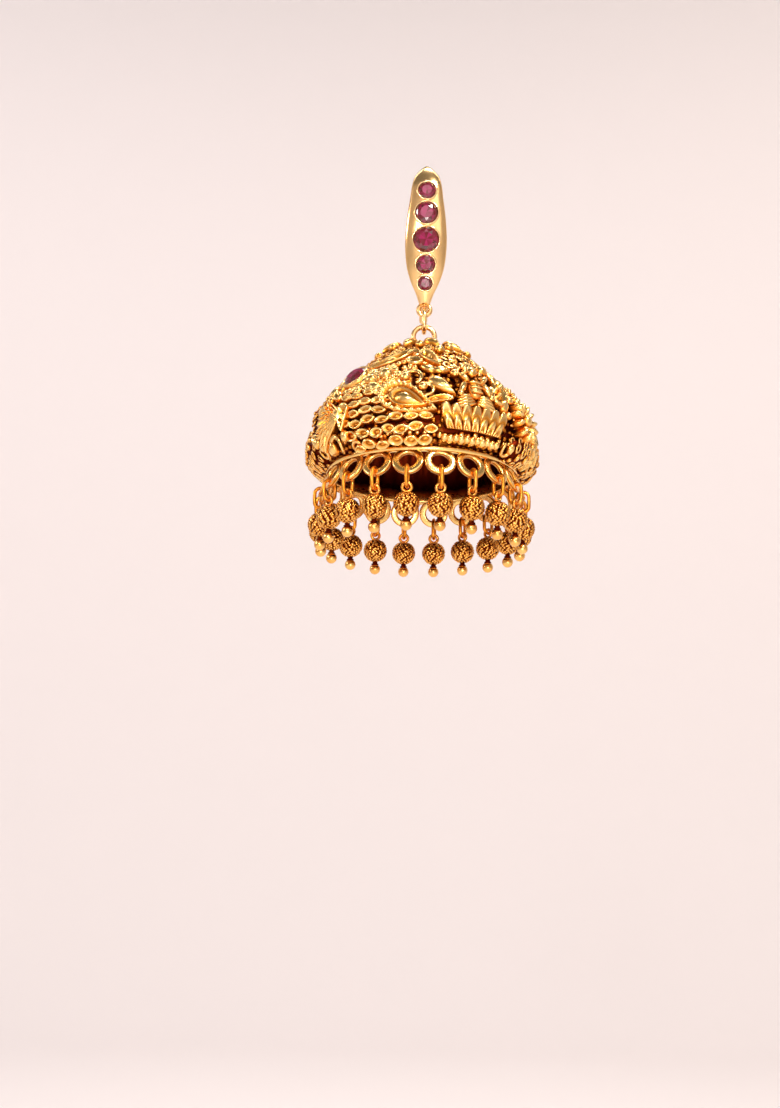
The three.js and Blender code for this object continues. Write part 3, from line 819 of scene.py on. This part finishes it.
# Curls, leaves and buds fill the rest of the wall, each turned its own way. The fields that the larger
# ornament has taken are rows of (first degree, last degree, upper mm, lower mm).
taken = [(-52, 12, 12.4, 18.6), (4, 47, 14.6, 18.4), (16, 36, 9.6, 15.0), (50, 69, 12.6, 19.5)]
taken += [(-62, -48, 13.0, 17.0), (-16, 14, 10.8, 13.0), (-36, -16, 6.6, 8.8)]
taken += [(-53, -39, 8.6, 11.9), (-92, -68, 12.0, 19.2), (78, 96, 15.2, 19.2)]
sprig_row = 1.28
sprig_gap = 1.42
dice = random.Random(11)
for row in range(12):
    down = 3.4 + sprig_row * row
    count = max(3, int(math.pi * wall_at(down)[0].x / sprig_gap))
    for i in range(count):
        degrees = -90 + 180 * (i + 0.5 * (row % 2) + dice.uniform(-0.2, 0.2)) / count
        near = down + dice.uniform(-0.2, 0.2)
        kind = dice.random()
        turn = dice.uniform(0, 360)
        if any(a < degrees < b and c < near < d for a, b, c, d in taken):
            continue
        for around in (0, 180):
            if kind < 0.36:
                sprig = scroll(0.68, 0.25, 0, 250, 0.5)
            elif kind < 0.5:
                sprig = long_leaf(2.0, 0.95, 1.0)
            elif kind < 0.66:
                sprig = bud(1.9, 0.95, 1.0)
            elif kind < 0.8:
                sprig = ball(0.5, 0.4)
            elif kind < 0.9:
                sprig = flower(0.8, 5, 0.95)
            else:
                sprig = scale_ring(1.5, 0.95, 0.95)
            flatter = 0.34 + 0.66 * max(0.0, min(1.0, (near - 7.5) / 4.5))
            bmesh.ops.scale(sprig, vec=(1, 1, flatter), verts=sprig.verts)
            lay(curls, sprig, around + degrees, near, turn, rise=0.1, bow=0.1)
for i in range(10):  # crown of buds and pearls round the apex
    lay(curls, bud(2.4, 1.35, 0.85), 36 * i + 12, 2.9, 180 + dice.uniform(-20, 20), rise=0.1)
    lay(curls, ball(0.5, 0.45), 36 * i + 30, 4.1 + dice.uniform(-0.2, 0.2))
keep_piece("bell_birds", birds, bell_gold, "drop", "antique_gold", "jhumka_dome")
keep_piece("bell_lotus_and_flowers", seats, bell_gold, "drop", "antique_gold", "jhumka_dome")
keep_piece("bell_leaves", leaves, bell_gold, "drop", "antique_gold", "jhumka_dome")
keep_piece("bell_curls", curls, bell_gold, "drop", "antique_gold", "jhumka_dome")

# Grain of the bell
# Under the larger ornament the wall is covered in small grains, cast in one with it, that keep a dark tone,
# partly patina and partly painted shade. Loose brighter granules lie along the band.
grain_row = 0.68
grain_gap = 0.78
grain_tone = 0.55
band_grains = 96
grain = bmesh.new()
dice = random.Random(7)
for down in [1.0 + grain_row * i for i in range(27)]:
    girth = math.tau * wall_at(down)[0].x
    count = int(girth / grain_gap)
    for i in range(count):
        degrees = 360 * (i + dice.uniform(-0.3, 0.3)) / count
        # dark grains: partly patina, partly painted shade
        speck = ball(dice.uniform(0.22, 0.34), 0.1, detail=1, low=-0.1)
        for v in speck.verts:
            v[speck.verts.layers.float["relief"]] *= grain_tone
        bmesh.ops.scale(speck, vec=(1, dice.uniform(0.9, 1.7), 1), verts=speck.verts)
        near = down + dice.uniform(-0.15, 0.15)
        turn = dice.uniform(0, 180)
        rise = dice.uniform(-0.05, 0.12)
        lay(grain, speck, degrees, near, turn, rise)
for i in range(band_grains):
    if dice.random() < 0.8:
        speck = ball(dice.uniform(0.2, 0.3), 0.3, low=0.0)
        lay(grain, speck, 360 * i / band_grains, bell_length - dice.uniform(1.3, 1.6))
keep_piece("bell_grain", grain, bell_gold, "drop", "antique_gold", "jhumka_dome")

# Stones on the shoulder
# A round cut stone of the same red glass stands on each side of the bell, square to the wall. It sits in a
# plain collet of cast gold, soldered to the wall, whose lip closes over the stone's girdle.
shoulder_stone = 1.3
shoulder_at = -46
shoulder_down = 10.3
collet_rise = 0.95
collet_rows = [(1.2, -0.6), (1.2, 0.6), (1.18, 0.98), (1.1, 1.06)]
collet_rows += [(1.02, 1.0), (1.02, 0.9), (0.9, 0.3), (0, 0.25)]
collets = bmesh.new()
for around, side in ((0, "front"), (180, "back")):
    foot = on_bell(around + shoulder_at, shoulder_down, 0)
    out = (on_bell(around + shoulder_at, shoulder_down, 1) - foot).normalized()
    tube = cast_boss(collet_rows, 40, petalled(shoulder_stone, 0, 0))
    bmesh.ops.transform(tube, matrix=facing_out(foot, out), verts=tube.verts)
    solder(collets, tube)
    stone = cut_stone(shoulder_stone, 40 + around)
    bmesh.ops.transform(stone, matrix=facing_out(foot + out * collet_rise, out), verts=stone.verts)
    node = f"dome_ruby_{side}"
    keep_piece(node + "_stone", stone, ruby_glass, "drop", "ruby", node, smooth=False)
keep_piece("bell_collets", collets, bell_gold, "drop", "antique_gold", "jhumka_dome")

# Gallery
# Twenty flat rings stand side by side under the band, soldered to it and to each other, and flare outwards.
# They are cut from sheet with rounded edges, plated with the bell and rubbed bright on their faces.
drops = 20
gallery_radius = 10.0
gallery_level = -35.0
gallery_flare = math.radians(20)
ring_outer = 1.57
ring_hole = 0.95
ring_middle = 1.2
ring_face = 0.22
gallery = bmesh.new()
for i in range(drops):
    ring = bend_ring(ring_middle, ring_outer - ring_middle, flat=0.62, sides=12, turns=36)
    place = Matrix.Rotation(math.radians(360 * (i + 0.5) / drops), 4, "Z")
    place = place @ Matrix.Translation((0, -gallery_radius, gallery_level))
    place = place @ Matrix.Rotation(-gallery_flare, 4, "X")
    for v in ring.verts:
        v.co.y = math.copysign(min(1.6 * abs(v.co.y), ring_face), v.co.y)
        v[ring.verts.layers.float["relief"]] = 0.3 + 2.8 * abs(v.co.y)
    bmesh.ops.transform(ring, matrix=place, verts=ring.verts)
    solder(gallery, ring)
keep_piece("bell_gallery", gallery, bell_gold, "drop", "antique_gold", "jhumka_dome")

# Drop links
# A small oval link of plain round wire, bent shut and plated gold, hangs in each ring of the gallery and
# holds the eye of its drop.
drop_wire = 0.19
drop_link_half = 0.62
drop_link_height = 2.1
bar_offset = (ring_outer + ring_hole) / 2
bar_radius = gallery_radius + bar_offset * math.sin(gallery_flare)
bar_level = gallery_level - bar_offset * math.cos(gallery_flare)
drop_link_top = bar_level + (ring_outer - ring_hole) / 2 + drop_wire + running_gap
drop_link_bottom = drop_link_top - drop_link_height
drop_link_middle = (drop_link_top + drop_link_bottom) / 2
drop_link_straight = drop_link_height / 2 - drop_link_half
for i in range(drops):
    link = bend_ring(drop_link_half, drop_wire, sides=10, turns=24, stretch=drop_link_straight)
    place = Matrix.Rotation(math.radians(360 * (i + 0.5) / drops), 4, "Z")
    place = place @ Matrix.Translation((0, -bar_radius, drop_link_middle))
    place = place @ Matrix.Rotation(math.pi / 2, 4, "Z")
    bmesh.ops.transform(link, matrix=place, verts=link.verts)
    node = f"drop_link_{i + 1:02d}"
    keep_piece(node + "_wire", mark_relief(link, 0.5), bell_gold, "drop", "polished_gold", node)

# Bead drops
# Each drop is a hollow granulated bead on a pin: the pin's eye above it hangs in the link, and a plain ball
# closes its foot. The grains are worn bright, with a dark tone between them that is partly patina and
# partly painted shade.
eye_wire = 0.16
eye_radius = 0.44
bead_radius = 1.27
knob_radius = 0.58
knob_drop = 2.05
eye_top = drop_link_bottom + drop_wire + eye_wire + running_gap
eye_sink = 0.1
grain_count = 230
grain_reach = 0.135
grain_height = 0.17
shell_depth = 0.14
cap_from = 0.84
painted_hole_from = 0.955
bead_level = eye_top - 2 * eye_radius + eye_sink - bead_radius


def granulated_bead(seed):
    """A hollow bead covered in uneven fine grains, with a dip at its top painted dark as the shade of a
    hole, and a ball at its foot.
    """
    bm = bmesh.new()
    relief = bm.verts.layers.float.new("relief")
    dice = random.Random(seed)
    grains = kdtree.KDTree(grain_count)
    for i in range(grain_count):
        level = 1 - (2 * i + 1) / grain_count
        turn = i * golden_turn + dice.uniform(-0.12, 0.12)
        reach = math.sqrt(1 - level * level)
        height = level + dice.uniform(-0.03, 0.03)
        grains.insert((reach * math.cos(turn), reach * math.sin(turn), height), i)
    grains.balance()
    bmesh.ops.create_uvsphere(bm, u_segments=84, v_segments=54, radius=1)
    for v in bm.verts:
        distance = grains.find(v.co)[2]
        crest = max(0.0, 1 - (distance / grain_reach) ** 2)
        smooth = max(0.0, min(1.0, (v.co.z - cap_from) * 12))
        # between the grains the tone is dark, partly patina and partly painted shade
        v[relief] = -0.08 + crest * (1 - smooth) + 0.85 * smooth
        radius = bead_radius - shell_depth + grain_height * crest * (1 - smooth) + 0.1 * smooth
        # painted shade: the dip at the top is painted darkest to read as a hole
        if v.co.z > painted_hole_from:
            v[relief] = -0.3
            v.co.z -= 0.35
        v.co *= radius
    stem = [(0.26, -1.1), (0.27, -1.42), (0.38, -1.47), (0.38, -1.56), (0.27, -1.6)]
    for i in range(9):
        angle = math.radians(50 - 140 * i / 8)
        stem.append((max(0.0, knob_radius * math.cos(angle)), -knob_drop + knob_radius * math.sin(angle)))
    foot = bmesh.new()
    tone = foot.verts.layers.float.new("relief")
    spin_profile(foot, stem, 20)
    for v in foot.verts:
        v[tone] = 0.75 if v.co.z < -1.62 else 0.1
    bmesh.ops.recalc_face_normals(foot, faces=foot.faces)
    solder(bm, foot)
    eye = mark_relief(bend_ring(eye_radius, eye_wire, sides=8, turns=18), 0.6)
    bmesh.ops.translate(eye, vec=(0, 0, bead_radius + eye_radius - eye_sink), verts=eye.verts)
    solder(bm, eye)
    return bm


dice = random.Random(5)
for i in range(drops):
    drop = granulated_bead(i)
    angle = math.radians(360 * (i + 0.5) / drops)
    hang = Vector((0, -bar_radius, drop_link_bottom + drop_link_half))  # centre of the link's lower bend
    place = Matrix.Rotation(angle, 4, "Z") @ Matrix.Translation((0, -bar_radius, bead_level))
    pivot = Matrix.Rotation(angle, 4, "Z") @ hang
    lean = math.radians(5 + 17 * max(0.0, math.cos(angle)) + dice.uniform(-4, 4))  # most at the front
    swing = Matrix.Translation(pivot) @ Matrix.Rotation(lean, 4, "X") @ Matrix.Translation(-pivot)
    spun = Matrix.Rotation(math.radians(dice.uniform(-12, 12)), 4, "Z")
    bmesh.ops.transform(drop, matrix=swing @ place @ spun, verts=drop.verts)
    node = f"bead_drop_{i + 1:02d}"
    keep_piece(node + "_bead", drop, bell_gold, "drop", "antique_gold", node)

# Studio
# A round sweep of pale matt paper makes the floor and the wall. Square lamps light the gold softly from the
# front, above, below and the side, two more light the wall, and the camera looks up at the bell. Sizes here
# are in metres.
floor_level = -0.13
floor_radius = 0.45
sweep_bend = 0.25
sweep_top = 0.6
room = bmesh.new()
sweep = [(0.0, floor_level), (floor_radius, floor_level)]
for i in range(1, 13):
    angle = math.radians(90 * i / 12)
    level = floor_level + sweep_bend * (1 - math.cos(angle))
    sweep.append((floor_radius + sweep_bend * math.sin(angle), level))
sweep.append((floor_radius + sweep_bend, sweep_top))
spin_profile(room, sweep, 96, merge=1e-5)
bmesh.ops.recalc_face_normals(room, faces=room.faces)
bmesh.ops.reverse_faces(room, faces=room.faces)
room_shape = bpy.data.meshes.new("pale_sweep")
room.to_mesh(room_shape)
room.free()
for face in room_shape.polygons:
    face.use_smooth = True
paper = bpy.data.materials.new("pale_paper")
paper.use_nodes = True
paper_shader = paper.node_tree.nodes["Principled BSDF"]
paper_shader.inputs["Base Color"].default_value = (0.88, 0.835, 0.825, 1)
paper_shader.inputs["Roughness"].default_value = 0.9
room_shape.materials.append(paper)
room_sweep = bpy.data.objects.new("pale_sweep", room_shape)
bpy.context.collection.objects.link(room_sweep)

world = bpy.data.worlds.new("studio_air")
world.use_nodes = True
air = world.node_tree.nodes["Background"]
air.inputs["Color"].default_value = (1.0, 0.94, 0.9, 1)
air.inputs["Strength"].default_value = 0.2
bpy.context.scene.world = world


def soft_light(name, place, target, size, power, tint):
    """A square lamp that faces its target."""
    lamp = bpy.data.lights.new(name, "AREA")
    lamp.size = size
    lamp.energy = power
    lamp.color = tint
    shine = bpy.data.objects.new(name, lamp)
    shine.location = place
    shine.rotation_mode = "QUATERNION"
    shine.rotation_quaternion = (Vector(target) - Vector(place)).to_track_quat("-Z", "Y")
    bpy.context.collection.objects.link(shine)


soft_light("key_light", (0.12, -0.2, 0.2), (0, 0, -0.028), 0.055, 0.6, (1.0, 0.97, 0.92))
soft_light("front_light", (-0.05, -0.26, 0.0), (0, 0, -0.028), 0.03, 0.2, (1.0, 0.96, 0.92))
soft_light("front_card", (0.12, -0.5, 0.16), (0, 0, -0.01), 0.42, 0.62, (1.0, 0.96, 0.92))
soft_light("low_light", (0.03, -0.2, -0.11), (0, 0, -0.034), 0.05, 0.12, (1.0, 0.93, 0.88))
soft_light("left_light", (-0.22, -0.06, 0.06), (0, 0, -0.028), 0.05, 0.14, (1.0, 0.93, 0.95))
soft_light("top_light", (0.02, 0.06, 0.25), (0, 0, -0.028), 0.08, 0.32, (1.0, 0.95, 0.9))
soft_light("wall_light_left", (-0.2, 0.15, 0.4), (-0.1, 0.7, 0.05), 0.25, 1.05, (0.98, 0.94, 0.98))
soft_light("wall_light_right", (0.2, 0.15, 0.4), (0.15, 0.7, 0.05), 0.25, 1.1, (1.0, 0.89, 0.82))

camera_place = (-0.003122, -0.14905, -0.07724)
focal_pixels = 1500
photo_height = 1108
pitch = math.radians(13.309)
roll = math.radians(-1.159)
right = Vector((1, 0, 0))
up = Vector((0, -math.sin(pitch), math.cos(pitch)))
ahead = Vector((0, math.cos(pitch), math.sin(pitch)))
camera_data = bpy.data.cameras.new("camera")
camera_data.sensor_width = 36
camera_data.lens = focal_pixels * camera_data.sensor_width / photo_height
camera_data.clip_start = 0.001
camera_data.clip_end = 10
camera = bpy.data.objects.new("camera", camera_data)
turned_right = right * math.cos(roll) - up * math.sin(roll)
turned_up = right * math.sin(roll) + up * math.cos(roll)
facing = Matrix((turned_right, turned_up, -ahead)).transposed().to_4x4()
camera.matrix_world = Matrix.Translation(camera_place) @ facing
bpy.context.collection.objects.link(camera)
bpy.context.scene.camera = camera
bpy.context.scene.view_settings.view_transform = "Standard"
